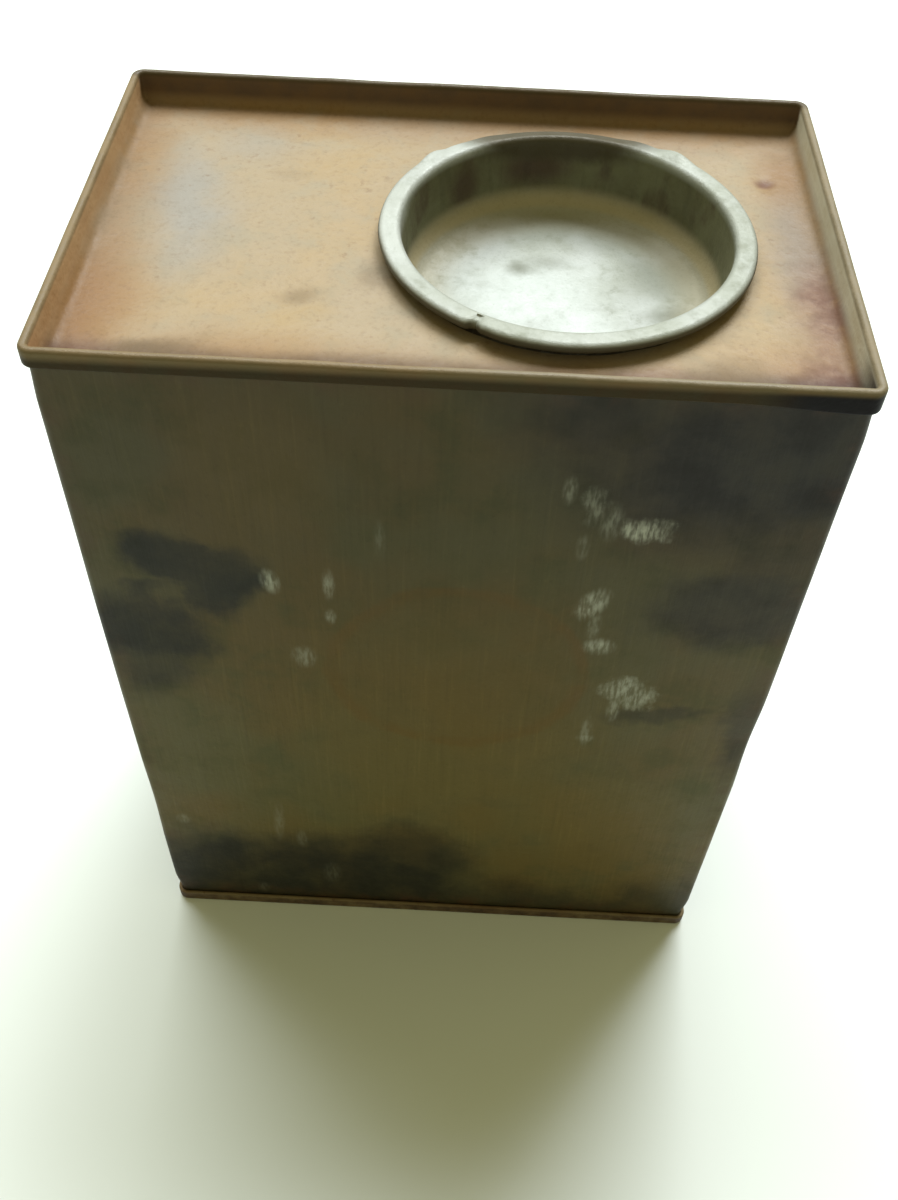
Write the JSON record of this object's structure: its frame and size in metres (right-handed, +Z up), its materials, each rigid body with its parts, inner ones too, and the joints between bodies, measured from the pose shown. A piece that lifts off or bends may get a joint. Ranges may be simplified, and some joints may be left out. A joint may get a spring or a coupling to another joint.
{
  "type": "press-lid tin canister",
  "caption": "Tall rectangular tinplate canister with a recessed top, double-seamed ends, a lock seam down the back and an off-centre round press-in lid that lifts out.",
  "frame": {"origin": "middle of the base, on the plane that the bottom seam stands on", "axes": "+Z up towards the lid, +X to the right towards the off-centre lid as seen from the front, and +Y to the back, where the lock seam is"},
  "size_m": [0.11, 0.073, 0.15],
  "materials": {
    "wall_lacquer": "dark olive-brown lacquer, worn and stained",
    "top_lacquer": "golden tan lacquer, rusted at the edges",
    "base_lacquer": "dull brown lacquer, rusted at the seam",
    "bare_tin": "dull grey oxidised tin, mottled",
    "collar_tin": "dark tarnished tin",
    "solder": "dull grey solder",
    "sealing_compound": "hardened dark rubber"
  },
  "bodies": {
    "tin": {"wall_sheet": "wall_lacquer", "lock_seam_solder": "solder", "top_end": "top_lacquer", "top_seam_compound": "sealing_compound", "bottom_end": "base_lacquer", "bottom_seam_compound": "sealing_compound", "collar": "collar_tin", "collar_solder": "solder"},
    "lid": {"press_lid": "bare_tin"}
  },
  "joints": [
    {"name": "lid_lift", "type": "slide", "parent": "tin", "child": "lid", "axis": [0, 0, 1], "range_m": [0, 0.06]}
  ]
}
